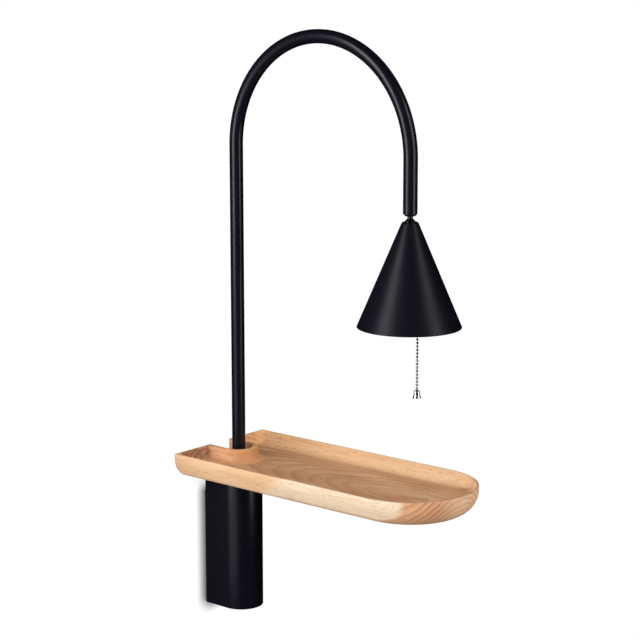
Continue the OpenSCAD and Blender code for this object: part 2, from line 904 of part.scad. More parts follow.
module switch_wire() {
    bend = (chain_x - wire_x) / 2;
    color(rubber) at_head() {
        translate([wire_x + bend, wire_y, bracket_z + bracket_t]) rotate([90, 0, 0])
            rotate_extrude(angle = 180) translate([bend, 0]) circle(d = wire_d);
        for (x = [wire_x, chain_x])
            translate([x, wire_y, bracket_z]) cylinder(d = wire_d, h = bracket_t);
    }
}

module switch_slider() {
    head_z = switch_z + switch_floor + spring_h;
    color(brass) at_chain() difference() {
        union() {
            translate([0, 0, head_z]) cylinder(d = slider_head_d, h = slider_head_h);
            translate([0, 0, pivot_x_z]) cylinder(d = slider_rod_d, h = head_z - pivot_x_z);
            translate([0, 0, pivot_x_z]) rod_x(link_eye_d, link_eye_w);
        }
        translate([0, 0, pivot_x_z]) rod_x(link_pin_d + 2 * pin_gap, link_eye_w + cut);
    }
}

// Fork with its pin along X: two cheeks and the web that joins them below the pin
module link_fork() {
    outer = link_cheek_in + link_cheek_t;
    rod_x(link_pin_d, 2 * outer + 0.6);
    for (side = [-1, 1])
        translate([side * (link_cheek_in + link_cheek_t / 2), 0, (link_pin_d - link_reach) / 2])
            cube([link_cheek_t, link_w, link_pin_d + link_reach], center = true);
    translate([-outer, -link_w / 2, -link_reach - link_web_t]) cube([2 * outer, link_w, link_web_t]);
}

module swing_link() {
    color(nickel) at_chain() difference() {
        union() {
            translate([0, 0, pivot_x_z]) link_fork();
            translate([0, 0, pivot_y_z]) rotate([0, 0, 90]) rod_x(link_eye_d, link_eye_w);
            translate([-link_eye_w / 2, -link_eye_w / 2, pivot_y_z])
                cube([link_eye_w, link_eye_w, pivot_x_z - pivot_y_z - link_reach]);
        }
        translate([0, 0, pivot_y_z]) rotate([0, 0, 90])
            rod_x(link_pin_d + 2 * pin_gap, link_eye_w + cut);
    }
}

module pull_chain() {
    web_z = pivot_y_z - link_reach - link_web_t;
    end_bead_z = fob_top_z - bead_d;
    color(nickel) at_chain() {
        translate([0, 0, pivot_y_z]) rotate([0, 0, 90]) link_fork();
        translate([0, 0, end_bead_z])
            cylinder(d = wire_link_d, h = web_z + link_web_t / 2 - end_bead_z);
        for (i = [0 : bead_count - 1])
            translate([0, 0, first_bead_z - i * bead_pitch]) sphere(d = bead_d, $fn = 24);
        translate([0, 0, end_bead_z]) sphere(d = bead_d, $fn = 24);
    }
}

// Bell outline, closed above and open below, drawn grow mm larger all round
module bell(grow) {
    dome_r = fob_d * 0.375 + grow;
    waist_r = fob_d * 0.415 + grow;
    mouth_r = fob_d / 2 + grow;
    dome_z = -fob_d * 0.375;
    waist_z = -0.82 * fob_h;
    translate([0, 0, dome_z]) sphere(r = dome_r);
    translate([0, 0, waist_z]) cylinder(r1 = waist_r, r2 = dome_r, h = dome_z - waist_z);
    translate([0, 0, -fob_h]) cylinder(r1 = mouth_r, r2 = waist_r, h = waist_z + fob_h);
}

module chain_fob() {
    color(nickel) at_chain() translate([0, 0, fob_top_z]) difference() {
        bell(0);
        bell(-fob_wall);
        translate([0, 0, -fob_h - cut + eps]) cylinder(d = fob_d - 2 * fob_wall, h = cut);
        translate([0, 0, -fob_h]) cylinder(d = wire_link_d + 0.1, h = fob_h + cut);
    }
}

wall_plate();
gussets();
tray_plate();
arm_socket();
upper_bush();
lower_bush();
foot_bracket();
thrust_washer();
brake_pad();
tension_screw();
housing();
housing_base();
housing_screws();
inlet_grommet();
earth_screw();
terminal_block();
terminal_screws();
cable_clamp();
clamp_screws();
lamp_lead();
tray();
tray_inserts();
tray_screws();
arm_tube();
stop_pin();
arm_cable();
joint_body();
joint_ring();
spring_washer();
joint_cup();
ball_stem();
stem_cable();
shade();
shade_nut();
lamp_bracket();
bracket_nuts();
lamp_socket();
socket_screws();
bulb_base();
bulb_pins();
bulb_cover();
led_core();
switch_body();
switch_spout();
switch_screw();
switch_spring();
switch_wire();
switch_slider();
swing_link();
pull_chain();
chain_fob();
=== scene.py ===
# %% [markdown]
# # A wall lamp with a wooden shelf
# The real object is a black steel box on the wall, a wooden tray on top of it, and a bent tube
# that carries a cone shade over the tray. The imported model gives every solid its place. This
# script gives the solids their finishes, and remakes by hand the pieces whose edges or curves
# a camera would notice.

import json
import math

import bmesh
import bpy
from mathutils import Matrix, Vector


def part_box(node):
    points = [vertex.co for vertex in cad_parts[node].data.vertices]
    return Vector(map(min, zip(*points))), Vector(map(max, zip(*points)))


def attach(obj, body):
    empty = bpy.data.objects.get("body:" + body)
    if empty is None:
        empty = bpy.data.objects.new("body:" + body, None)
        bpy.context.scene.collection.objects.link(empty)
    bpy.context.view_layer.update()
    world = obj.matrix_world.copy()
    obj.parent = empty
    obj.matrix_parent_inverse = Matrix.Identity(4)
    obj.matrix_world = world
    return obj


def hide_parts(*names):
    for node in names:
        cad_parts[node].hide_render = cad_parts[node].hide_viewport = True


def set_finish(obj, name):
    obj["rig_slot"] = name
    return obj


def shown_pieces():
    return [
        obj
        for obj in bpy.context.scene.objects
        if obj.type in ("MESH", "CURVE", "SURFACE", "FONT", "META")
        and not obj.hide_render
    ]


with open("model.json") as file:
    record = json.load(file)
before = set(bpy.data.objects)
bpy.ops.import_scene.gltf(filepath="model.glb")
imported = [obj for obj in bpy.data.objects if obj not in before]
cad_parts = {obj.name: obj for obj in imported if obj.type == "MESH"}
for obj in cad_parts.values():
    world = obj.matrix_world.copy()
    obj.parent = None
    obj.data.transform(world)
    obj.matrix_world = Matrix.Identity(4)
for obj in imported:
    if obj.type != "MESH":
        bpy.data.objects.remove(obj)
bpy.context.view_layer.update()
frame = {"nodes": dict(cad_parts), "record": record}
nodes = frame["nodes"]
MM = 0.001

# %% [markdown]
# The main sizes are the model's own, in millimetres. Heights are measured from the middle of
# the wall box, and the wall is the plane Y = 0. Where a solid already says a size, it is read
# from the solid's box, so that a new piece always fits the one that it stands for.

# %% Sizes that the pieces share
TUBE_R = 8.0
TUBE_WALL = 1.5
ARM_Y = -32.0
ARCH_R = 129.0
HEAD_Y = ARM_Y - 2 * ARCH_R
ARCH_Z = 478.5
TUBE_FOOT_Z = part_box("arm_tube")[0].z / MM
TUBE_END_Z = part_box("joint_ring")[1].z / MM
BOX_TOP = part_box("housing")[1].z / MM
BOX_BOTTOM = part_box("housing")[0].z / MM
SHADE_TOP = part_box("shade")[1].z / MM
SHADE_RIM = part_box("shade")[0].z / MM
CHAIN_X = 15.0
print("arm from", round(TUBE_FOOT_Z, 1), "to", round(TUBE_END_Z, 1), "mm")

# %% [markdown]
# Blender's operators act on whatever is selected, and loading the frame leaves its solids
# selected. These helpers clear the selection, start a piece from a primitive, pick vertices by
# their place, and put a finished piece's place into its mesh.


# %% Helpers for modelling
MERGE = 0.01


def clear_selection():
    bpy.ops.object.select_all(action="DESELECT")


def choose(piece):
    """Selects this piece alone and makes it the active one."""
    clear_selection()
    piece.select_set(True)
    bpy.context.view_layer.objects.active = piece


def start(name):
    """Names the primitive that was just added and opens it in edit mode."""
    piece = bpy.context.object
    piece.name = piece.data.name = name
    bpy.ops.object.mode_set(mode="EDIT")
    bpy.ops.mesh.select_mode(type="VERT")
    bpy.ops.mesh.select_all(action="SELECT")
    return piece


def pick(piece, test):
    """In edit mode, selects the vertices whose place in millimetres passes the test."""
    bpy.ops.mesh.select_mode(type="VERT")
    bpy.ops.mesh.select_all(action="DESELECT")
    mesh = bmesh.from_edit_mesh(piece.data)
    for vertex in mesh.verts:
        vertex.select = bool(test(piece.matrix_world @ vertex.co / MM))
    mesh.select_flush(True)
    bmesh.update_edit_mesh(piece.data)


def extrude(x, y, z):
    """Draws out what is selected by this many millimetres."""
    bpy.ops.mesh.extrude_region_move(
        TRANSFORM_OT_translate={"value": (x * MM, y * MM, z * MM)}
    )


def close_up(piece):
    """Merges what meets, turns all faces outwards and leaves edit mode."""
    bpy.ops.mesh.select_all(action="SELECT")
    bpy.ops.mesh.remove_doubles(threshold=MERGE * MM)
    bpy.ops.mesh.normals_make_consistent(inside=False)
    bpy.ops.object.mode_set(mode="OBJECT")
    choose(piece)
    bpy.ops.object.transform_apply(location=True, rotation=True, scale=True)


def apply(piece, kind, **settings):
    """Adds a modifier and applies it."""
    modifier = piece.modifiers.new(kind.title(), kind)
    for key, value in settings.items():
        setattr(modifier, key, value)
    choose(piece)
    bpy.ops.object.modifier_apply(modifier=modifier.name)


def smooth(piece, angle=35):
    """Shades the piece smooth, but for edges that turn by more than the angle."""
    choose(piece)
    bpy.ops.object.shade_smooth_by_angle(angle=math.radians(angle))


# %% [markdown]
# Turned parts, such as the shade and the fob, come off a lathe. Here a circle does the same
# work: it is drawn out and scaled from ring to ring along the part's outline, given as pairs of
# radius and height.


# %% A lathe
def turned(name, x, outline, sides=96):
    radius, height = outline[0]
    clear_selection()
    bpy.ops.mesh.primitive_circle_add(
        vertices=sides, radius=radius * MM, location=(x * MM, HEAD_Y * MM, height * MM)
    )
    piece = start(name)
    for next_radius, next_height in outline[1:]:
        extrude(0, 0, next_height - height)
        share = next_radius / radius
        bpy.ops.transform.resize(
            value=(share, share, 1),
            center_override=(x * MM, HEAD_Y * MM, next_height * MM),
        )
        radius, height = next_radius, next_height
    close_up(piece)
    return piece


def arc(centre_r, centre_z, radius, start_deg, end_deg, steps):
    """Points of an outline along an arc, measured from the outward direction."""
    points = []
    for i in range(steps + 1):
        turn = math.radians(start_deg + (end_deg - start_deg) * i / steps)
        points.append(
            (centre_r + radius * math.cos(turn), centre_z + radius * math.sin(turn))
        )
    return points


def hand_in(piece, body, slot, *stands_for):
    """The finished piece rides on its body and stands for its solid."""
    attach(piece, body)
    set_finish(piece, slot)
    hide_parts(*stands_for)
    print(piece.name, len(piece.data.polygons), "faces")


# %% [markdown]
# ## Camera
# The camera stands left of the lamp and a little above the tray, far enough away that lines
# stay almost parallel. Its place and lens come from matching the tray, tube and shade.

# %% The camera at the photograph's angle
AZIMUTH, PITCH, ROLL = math.radians(-49.64), math.radians(10.88), math.radians(-0.03)
DISTANCE, ASIDE, UPWARD = 2.3231, 0.12246, 0.14777
RIM_HEIGHT = 114.5 * MM
FOCAL_MM, SENSOR_MM = 107.25, 36
back = Vector(
    (
        math.sin(AZIMUTH) * math.cos(PITCH),
        -math.cos(AZIMUTH) * math.cos(PITCH),
        math.sin(PITCH),
    )
)
right = Vector((math.cos(AZIMUTH), math.sin(AZIMUTH), 0))
upward = back.cross(right)
lens = bpy.data.cameras.new("camera")
lens.lens, lens.sensor_width = FOCAL_MM, SENSOR_MM
camera = bpy.data.objects.new("camera", lens)
bpy.context.scene.collection.objects.link(camera)
turn = Matrix((right, upward, back)).transposed() @ Matrix.Rotation(ROLL, 3, "Z")
place = back * DISTANCE + right * ASIDE + upward * UPWARD + Vector((0, 0, RIM_HEIGHT))
camera.matrix_world = Matrix.Translation(place) @ turn.to_4x4()
bpy.context.scene.camera = camera
print("camera at", [round(c, 3) for c in place])

# %% [markdown]
# ## The arm
# The arm is one steel tube bent on a mandrel. A ring of vertices goes up from the foot, spins
# half a turn for the arch, and goes down to the ball joint. Solidify then gives it a real wall.

# %% The bent tube
TUBE_SIDES, ARCH_STEPS = 64, 96
clear_selection()
bpy.ops.mesh.primitive_circle_add(
    vertices=TUBE_SIDES, radius=TUBE_R * MM, location=(0, ARM_Y * MM, TUBE_FOOT_Z * MM)
)
arm = start("bent_tube")
extrude(0, 0, ARCH_Z - TUBE_FOOT_Z)
bpy.ops.mesh.spin(
    steps=ARCH_STEPS,
    angle=-math.pi,
    center=(0, (ARM_Y - ARCH_R) * MM, ARCH_Z * MM),
    axis=(1, 0, 0),
)
extrude(0, 0, TUBE_END_Z - ARCH_Z)
close_up(arm)
apply(arm, "SOLIDIFY", thickness=TUBE_WALL * MM, offset=-1)
smooth(arm)
hand_in(arm, "arm", "black_metal", "arm_tube")

# %% [markdown]
# ## The shade
# The shade is spun from sheet metal: one cone with a small flat top, a rounded shoulder where
# the metal was pressed over the chuck, and a rim whose cut edge is rounded off.

# %% The cone shade
# A ring on the flat top, just inside the shoulder, keeps the top flat when it is shaded smooth.
SHADE_TOP_R, SHADE_RIM_R, SHADE_WALL, STEM_R = 9.0, 58.5, 1.0, 4.0
slope = math.atan2(SHADE_RIM_R - SHADE_TOP_R, SHADE_TOP - SHADE_RIM)
SHOULDER, FLAT_IN, CORNER_IN = 1.6, 1.0, 0.6
shoulder_r = SHADE_TOP_R - SHOULDER * math.tan((math.pi / 2 - slope) / 2)
outline = [(STEM_R, SHADE_TOP), (shoulder_r - FLAT_IN, SHADE_TOP)]
lean = math.degrees(slope)
outline += arc(shoulder_r, SHADE_TOP - SHOULDER, SHOULDER, 90, lean, 6)
edge = SHADE_WALL / 2
edge_r = SHADE_RIM_R - edge / math.cos(slope) - edge * math.tan(slope)
outline += arc(edge_r, SHADE_RIM + edge, edge, lean, lean - 180, 8)
inner_r = shoulder_r + (SHOULDER - SHADE_WALL) * math.cos(slope)
inner_z = SHADE_TOP - SHOULDER + (SHOULDER - SHADE_WALL) * math.sin(slope)
outline += [(inner_r, inner_z), (shoulder_r - CORNER_IN, SHADE_TOP - SHADE_WALL)]
outline += [(STEM_R, SHADE_TOP - SHADE_WALL), (STEM_R, SHADE_TOP)]
shade = turned("cone_shade", 0, outline, sides=160)
smooth(shade, 25)
hand_in(shade, "head", "shade_metal", "shade")

# %% [markdown]
# ## The ball stem
# The pivot is turned from one bar: a ball that sits in the arm's ring, a waisted neck, and a
# foot that flares out in a smooth cove onto the shade. The cove catches a bright line of light.

# %% The stem with its ball
BALL_R, BALL_Z, NECK_R, FOOT_R, BORE_R = 6.0, 422.0, 3.0, 6.2, 2.1
STEM_LOW, STEM_CHAMFER, FOOT_CHAMFER = SHADE_TOP - 38, 0.4, 0.2
COVE_TOP, COVE_TALL, COVE_CURVE, COVE_STEPS = SHADE_TOP + 5.2, 4.4, 1.7, 12
stem = [
    (BORE_R, STEM_LOW),
    (STEM_R - STEM_CHAMFER, STEM_LOW),
    (STEM_R, STEM_LOW + STEM_CHAMFER),
    (STEM_R, SHADE_TOP),
    (FOOT_R - FOOT_CHAMFER, SHADE_TOP),
    (FOOT_R, SHADE_TOP + FOOT_CHAMFER),
]
for step in range(COVE_STEPS + 1):
    left = 1 - step / COVE_STEPS
    stem.append((NECK_R + (FOOT_R - NECK_R) * left**COVE_CURVE, COVE_TOP - COVE_TALL * left))
meet = math.degrees(math.asin(NECK_R / BALL_R))
top = math.degrees(math.acos(BORE_R / BALL_R))
stem += arc(0, BALL_Z, BALL_R, meet - 90, top, 24)
stem += [(BORE_R, STEM_LOW)]
ball_stem = turned("turned_ball_stem", 0, stem, sides=64)
smooth(ball_stem)
hand_in(ball_stem, "head", "dark_steel", "ball_stem")

# %% [markdown]
# ## The fob
# The pull chain ends in a small bell, pressed from nickel-plated sheet. It is round at the top,
# almost straight below, and its mouth flares into a rolled lip.

# %% The bell at the end of the chain
fob_low, fob_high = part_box("chain_fob")
FOB_TOP, FOB_MOUTH = fob_high.z / MM, fob_low.z / MM
FOB_R = (fob_high.x - fob_low.x) / 2 / MM
HOLE_R, SHEET, LIP_R = 0.5, 0.6, 0.35
INSIDE_DROP = 0.3 * SHEET
tall = FOB_TOP - FOB_MOUTH
# The bell's side from the top down: shares of its mouth's radius and of its height.
BELL_SIDE = [
    (0.24, 0.985), (0.44, 0.95), (0.59, 0.885), (0.68, 0.79), (0.72, 0.67), (0.73, 0.54),
    (0.74, 0.40), (0.77, 0.28), (0.84, 0.18), (0.94, 0.11),
]
outside = [(FOB_R * r, FOB_MOUTH + tall * z) for r, z in BELL_SIDE]
lip = arc(FOB_R - LIP_R, FOB_MOUTH + LIP_R, LIP_R, 60, -150, 6)
inside = [(max(r - SHEET, HOLE_R), z - INSIDE_DROP) for r, z in outside[::-1]]
bell = [(HOLE_R, FOB_TOP)] + outside + lip + inside
bell += [(HOLE_R, FOB_TOP - SHEET), (HOLE_R, FOB_TOP)]
fob = turned("bell_fob", CHAIN_X, bell, sides=48)
smooth(fob, 40)
hand_in(fob, "chain", "nickel", "chain_fob")

# %% [markdown]
# ## The wall box
# The box is a strip of sheet steel bent into a U. One upright edge goes out from the wall,
# spins half a turn for the round front and comes back. Solidify gives the sheet its thickness,
# and a small bevel takes the sharpness off its edges, which is where powder coat builds up.

# %% The housing
BOX_W, BOX_D, SHEET_T, BOX_EDGE = 52.0, 61.0, 1.5, 0.5
FRONT_R = BOX_W / 2
FLAT_DEPTH = BOX_D - FRONT_R
PLANE = 1.0
clear_selection()
bpy.ops.mesh.primitive_plane_add(
    size=PLANE, location=(FRONT_R * MM, 0, 0), rotation=(0, math.pi / 2, 0)
)
housing = start("box_shell")
pick(housing, lambda at: at.y > 0)
bpy.ops.mesh.delete(type="VERT")
bpy.ops.mesh.select_all(action="SELECT")
# The edge that is left stands half a plane in front of the wall, and goes back to it.
tall_side = (BOX_TOP - BOX_BOTTOM) * MM / PLANE
bpy.ops.transform.resize(value=(1, 1, tall_side), center_override=(FRONT_R * MM, 0, 0))
bpy.ops.transform.translate(value=(0, PLANE / 2, (BOX_TOP + BOX_BOTTOM) / 2 * MM))
extrude(0, -FLAT_DEPTH, 0)
bpy.ops.mesh.spin(
    steps=48,
    angle=math.pi,
    center=(0, -FLAT_DEPTH * MM, 0),
    axis=(0, 0, 1),
)
extrude(0, FLAT_DEPTH, 0)
close_up(housing)
apply(housing, "SOLIDIFY", thickness=SHEET_T * MM, offset=-1)
apply(housing, "BEVEL", width=BOX_EDGE * MM, segments=3, limit_method="ANGLE")
smooth(housing, 40)
hand_in(housing, "base", "black_metal", "housing")

# %% [markdown]
# ## The tray
# The tray is milled from one board. Its solid already has the right hollow, slot and fillets,
# so a copy of it is merged, its flat triangles are joined into plain faces, and its sharp edges
# are broken with a small bevel, as sandpaper leaves them.

# %% The tray with its edges broken
TRAY_EDGE, TRAY_MERGE = 0.7, 0.005
FLAT_DEG, SHARP_DEG = 0.2, 50
tray = nodes["tray"].copy()
tray.data = nodes["tray"].data.copy()
for key in list(tray.keys()):
    del tray[key]
tray.parent = None
tray.name = tray.data.name = "board_tray"
bpy.context.scene.collection.objects.link(tray)
choose(tray)
bpy.ops.object.mode_set(mode="EDIT")
bpy.ops.mesh.select_all(action="SELECT")
bpy.ops.mesh.remove_doubles(threshold=TRAY_MERGE * MM)
bpy.ops.mesh.dissolve_limited(angle_limit=math.radians(FLAT_DEG))
bpy.ops.object.mode_set(mode="OBJECT")
apply(
    tray,
    "BEVEL",
    width=TRAY_EDGE * MM,
    segments=3,
    limit_method="ANGLE",
    angle_limit=math.radians(SHARP_DEG),
)
smooth(tray, 30)
hand_in(tray, "base", "wood", "tray")

# %% [markdown]
# ## Materials
# Colours are written as they would be picked on a screen, and one function turns them into the
# linear values that the renderer works in. A second function adds any node, with its settings
# and whatever feeds its sockets.


# %% Colour and node helpers
def linear(colour):
    """A hex colour such as #c8a070 as linear red, green, blue and 1."""
    parts = [int(colour[i : i + 2], 16) / 255 for i in (1, 3, 5)]
    return [c / 12.92 if c <= 0.04045 else ((c + 0.055) / 1.055) ** 2.4 for c in parts] + [1]


def add(tree, kind, feeds=None, **settings):
    """Adds a node. feeds maps a socket to a value, or to another node's output."""
    made = tree.nodes.new(kind)
    for key, value in settings.items():
        setattr(made, key, value)
    for socket, value in (feeds or {}).items():
        if isinstance(value, bpy.types.NodeSocket):
            tree.links.new(value, made.inputs[socket])
        else:
            made.inputs[socket].default_value = value
    return made


def material(name, colour, roughness, **sockets):
    """A material with one main shader, set on its own sockets."""
    made = bpy.data.materials.new(name)
    made.use_nodes = True
    shader = made.node_tree.nodes["Principled BSDF"]
    shader.inputs["Base Color"].default_value = linear(colour)
    shader.inputs["Roughness"].default_value = roughness
    for key, value in sockets.items():
        shader.inputs[key.replace("_", " ")].default_value = value
    return made, made.node_tree, shader


def ramp(tree, factor, stops):
    """A colour ramp fed by factor, with stops as pairs of place and hex colour."""
    made = add(tree, "ShaderNodeValToRGB", {"Fac": factor})
    band = made.color_ramp
    while len(band.elements) < len(stops):
        band.elements.new(0.5)
    for element, (at, colour) in zip(band.elements, stops):
        element.position, element.color = at, linear(colour)
    return made.outputs["Color"]


def bump(tree, shader, height, depth_mm):
    """Roughens the surface by this many millimetres, as the height says."""
    feeds = {"Height": height, "Distance": depth_mm * MM, "Strength": 1.0}
    made = add(tree, "ShaderNodeBump", feeds)
    tree.links.new(made.outputs["Normal"], shader.inputs["Normal"])


# %% [markdown]
# ### Powder-coated steel
# Powder coat is plastic dust melted onto steel. It gives a satin black with soft, wide
# highlights, and a faint ripple like orange peel, here 1.2 mm across. The shade has the duller
# coat of the two.

# %% Satin black powder coat
RIPPLE_MM, RIPPLE_DEPTH = 1.2, 0.004
WEAR_MM, WEAR_SHARE = 30, 0.04


def powder_coat(name, colour, roughness, shine):
    coat, tree, shader = material(name, colour, roughness, Specular_IOR_Level=shine)
    place = add(tree, "ShaderNodeTexCoord").outputs["Object"]
    feeds = {"Vector": place, "Scale": 1 / (RIPPLE_MM * MM), "Detail": 2}
    ripple = add(tree, "ShaderNodeTexNoise", feeds)
    bump(tree, shader, ripple.outputs["Fac"], RIPPLE_DEPTH)
    wear = add(tree, "ShaderNodeTexNoise", {"Vector": place, "Scale": 1 / (WEAR_MM * MM)})
    feeds = {
        "Value": wear.outputs["Fac"],
        "To Min": roughness - WEAR_SHARE,
        "To Max": roughness + WEAR_SHARE,
    }
    spread = add(tree, "ShaderNodeMapRange", feeds)
    tree.links.new(spread.outputs["Result"], shader.inputs["Roughness"])
    return coat


black_coat = powder_coat("powder_coated_steel_black", "#0a0a12", 0.28, 0.18)
shade_coat = powder_coat("powder_coated_shade_black", "#0a0a12", 0.38, 0.09)

# %% [markdown]
# ### Oiled rubberwood
# The tree's middle, its pith, lies below the floor of the tray, and deeper towards the wall. So
# the growth rings show as long loops on the floor, as straight stripes further out, and as arcs
# across the round end. One long edge of the board is pale sapwood, where the rings hardly show,
# and the other is a paler heartwood. The floor is darker than these pale walls: partly the
# wood's own tone, partly painted shade, since the floor takes the lamps' light at a slant while
# the walls face it. Oil soaks into end grain and reddens it a little. The round end and the far
# part of the
# back end are paler: partly the pale wood they are cut through, partly painted light, since
# these end faces get less lamp light than the sides. The open pores of the back end show dark.
# Object coordinates are in metres, so the places below are too.

# %% The board's own directions
wood, tree, shader = material("oiled_rubberwood", "#dcae80", 0.5, Specular_IOR_Level=0.3)
place = add(tree, "ShaderNodeTexCoord")
facing = add(tree, "ShaderNodeSeparateXYZ", {"Vector": place.outputs["Normal"]})
spot = add(tree, "ShaderNodeSeparateXYZ", {"Vector": place.outputs["Object"]})
across, along, up = spot.outputs["X"], spot.outputs["Y"], spot.outputs["Z"]


def maths(operation, *values):
    feeds = dict(enumerate(values))
    return add(tree, "ShaderNodeMath", feeds, operation=operation).outputs[0]


def stretched(x, y, z, detail=2.0, roughness=0.5):
    """Noise whose clumps repeat x, y and z times in a metre."""
    size = {0: place.outputs["Object"], 1: (x, y, z)}
    scaled = add(tree, "ShaderNodeVectorMath", size, operation="MULTIPLY").outputs["Vector"]
    feeds = {"Vector": scaled, "Scale": 1.0, "Detail": detail, "Roughness": roughness}
    return add(tree, "ShaderNodeTexNoise", feeds).outputs["Fac"]


def span(value, low, high, at_low=0.0, at_high=1.0):
    """Runs smoothly from at_low to at_high while value runs from low to high."""
    feeds = {
        "Value": value,
        "From Min": low,
        "From Max": high,
        "To Min": at_low,
        "To Max": at_high,
    }
    made = add(tree, "ShaderNodeMapRange", feeds, interpolation_type="SMOOTHSTEP")
    return made.outputs["Result"]


def blended(mode, factor, under, over):
    feeds = {0: factor, 6: under, 7: over}
    made = add(tree, "ShaderNodeMix", feeds, data_type="RGBA", blend_type=mode)
    return made.outputs[2]


# %% The growth rings
RING, FLOOR_Z = 0.0062, 0.0995
PITH_X, PITH_SHALLOW, PITH_DEEP = 0.015, 0.033, 0.078
PITH_WANDER, RING_WANDER = 0.03, 0.006


def far_from(side, height):
    """Distance from a line, given how far beside it and above it a place is."""
    squares = maths("ADD", maths("MULTIPLY", height, height), maths("MULTIPLY", side, side))
    return maths("SQRT", squares)


slow = stretched(16, 9, 16, 1.0)
pith_depth = span(along, -0.3, -0.02, PITH_SHALLOW, PITH_DEEP)
above_pith = maths("ADD", maths("SUBTRACT", up, FLOOR_Z), pith_depth)
beside_pith = maths("MULTIPLY_ADD", slow, PITH_WANDER, maths("SUBTRACT", across, PITH_X))
distance = far_from(beside_pith, above_pith)
bent = maths("MULTIPLY_ADD", stretched(45, 20, 45), RING_WANDER, distance)
year = maths("FRACT", maths("DIVIDE", bent, RING))
RING_COLOURS = [(0.0, "#ffffff"), (0.5, "#f0e2d6"), (0.88, "#b9917a"), (1.0, "#ffffff")]
growth = ramp(tree, year, RING_COLOURS)

# %% Where the rings show
LIP_INSIDE, LIP_OUTSIDE = 0.027, 0.039
width = maths("MULTIPLY_ADD", stretched(30, 10, 30), -0.004, across)
sapwood = span(width, -0.066, -0.072)
far_edge = span(width, 0.058, 0.066)
end_grain = span(maths("ABSOLUTE", facing.outputs["Y"]), 0.25, 0.8)
from_arm = far_from(maths("ADD", along, -ARM_Y * MM), across)
off_lip = span(from_arm, LIP_INSIDE, LIP_OUTSIDE)
faint = span(stretched(25, 8, 25, 1.0), 0.35, 0.65, 0.3, 0.65)
inner = maths("SUBTRACT", 1.0, maths("MAXIMUM", sapwood, far_edge))
on_face = maths("MAXIMUM", maths("MULTIPLY", faint, inner), 0.1)
on_end = maths("MULTIPLY", end_grain, span(across, -0.01, -0.04, 0.2, 0.7))
ring_share = maths("MULTIPLY", off_lip, maths("MAXIMUM", on_face, on_end))

# %% The board's colours
patch = stretched(28, 10, 28)
# Painted shade, partly: the floor's tone is darker than the walls', as light at a slant leaves
# it.
floor_tone_and_shade = ramp(tree, patch, [(0.35, "#b78b65"), (0.65, "#cca17d")])
lip_colour = ramp(tree, patch, [(0.35, "#cd9463"), (0.65, "#daa577")])
heartwood_and_floor_shade = blended("MIX", off_lip, lip_colour, floor_tone_and_shade)
far_share = maths("MULTIPLY", far_edge, span(along, -0.04, -0.32, 0.9, 1.0))
far_tint = ramp(tree, span(along, 0.0, -0.3), [(0.0, "#d6ac80"), (1.0, "#d8b48c")])
far_colour = blended("MIX", far_share, heartwood_and_floor_shade, far_tint)
# Painted light, partly: end faces, the round end most, and the back end's far part are mixed
# paler, standing in part for the lamp light these faces miss.
pale_end_and_light_share = maths("MULTIPLY", end_grain, span(across, -0.045, 0.0, 0.0, 0.8))
pale_end_and_light_share = maths("MULTIPLY", pale_end_and_light_share, off_lip)
middle = blended("MIX", pale_end_and_light_share, far_colour, linear("#e4c4a2"))
at_back = maths("MULTIPLY", end_grain, span(along, -0.02, -0.008))
far_back_tone_and_light = maths("MULTIPLY", at_back, span(across, 0.02, 0.03))
middle = blended("MIX", far_back_tone_and_light, middle, linear("#efc28c"))
near_wall = span(maths("MULTIPLY_ADD", up, 1.2, along), -0.045, -0.015)
sap_colour = ramp(tree, patch, [(0.35, "#d3bb9d"), (0.65, "#decbb0")])
warm_sap = ramp(tree, patch, [(0.35, "#caa07a"), (0.65, "#d6b18b")])
edge = blended("MIX", near_wall, sap_colour, warm_sap)
plain = blended("MIX", sapwood, middle, edge)
oiled = blended("MULTIPLY", maths("MULTIPLY", end_grain, 0.2), plain, linear("#e8c4a8"))
ringed = blended("MULTIPLY", ring_share, oiled, growth)

# %% Fibres and vessels, drawn about twice as coarse as real ones
FIBRE_DEPTH = 0.04
fibre = stretched(800, 18, 800, 2.0, 0.6)
fibres = ramp(tree, fibre, [(0.32, "#e6d3bf"), (0.5, "#ffffff")])
grained = blended("MULTIPLY", 0.5, ringed, fibres)
vessel = stretched(900, 110, 900, 0.0)
vessels = ramp(tree, vessel, [(0.22, "#a87a56"), (0.29, "#ffffff")])
near_back = maths("MULTIPLY", at_back, span(across, 0.0, -0.03))
end_vessels = ramp(tree, vessel, [(0.34, "#a86a48"), (0.46, "#ffffff")])
pitted = blended("MULTIPLY", maths("MULTIPLY", near_back, 0.7), grained, end_vessels)
finished = blended("MULTIPLY", 0.45, pitted, vessels)
tree.links.new(finished, shader.inputs["Base Color"])
bump(tree, shader, fibre, FIBRE_DEPTH)

# %% [markdown]
# ### The small metals and plastics
# Zinc plating is a bluish, slightly cloudy grey. Nickel is warmer and brighter. Brass, nylon,
# rubber and the steatite of a lamp holder are each near the values that such stock has.

# %% Metals
CLOUD_SHARE = 0.25


def metal(name, colour, roughness, cloud_mm):
    """A metal whose gloss varies in soft clouds of this size."""
    made, tree, shader = material(name, colour, roughness, Metallic=1.0)
    place = add(tree, "ShaderNodeTexCoord").outputs["Object"]
    feeds = {"Vector": place, "Scale": 1 / (cloud_mm * MM), "Detail": 3}
    cloud = add(tree, "ShaderNodeTexNoise", feeds)
    feeds = {
        "Value": cloud.outputs["Fac"],
        "To Min": roughness * (1 - CLOUD_SHARE),
        "To Max": roughness * (1 + CLOUD_SHARE),
    }
    spread = add(tree, "ShaderNodeMapRange", feeds)
    tree.links.new(spread.outputs["Result"], shader.inputs["Roughness"])
    return made


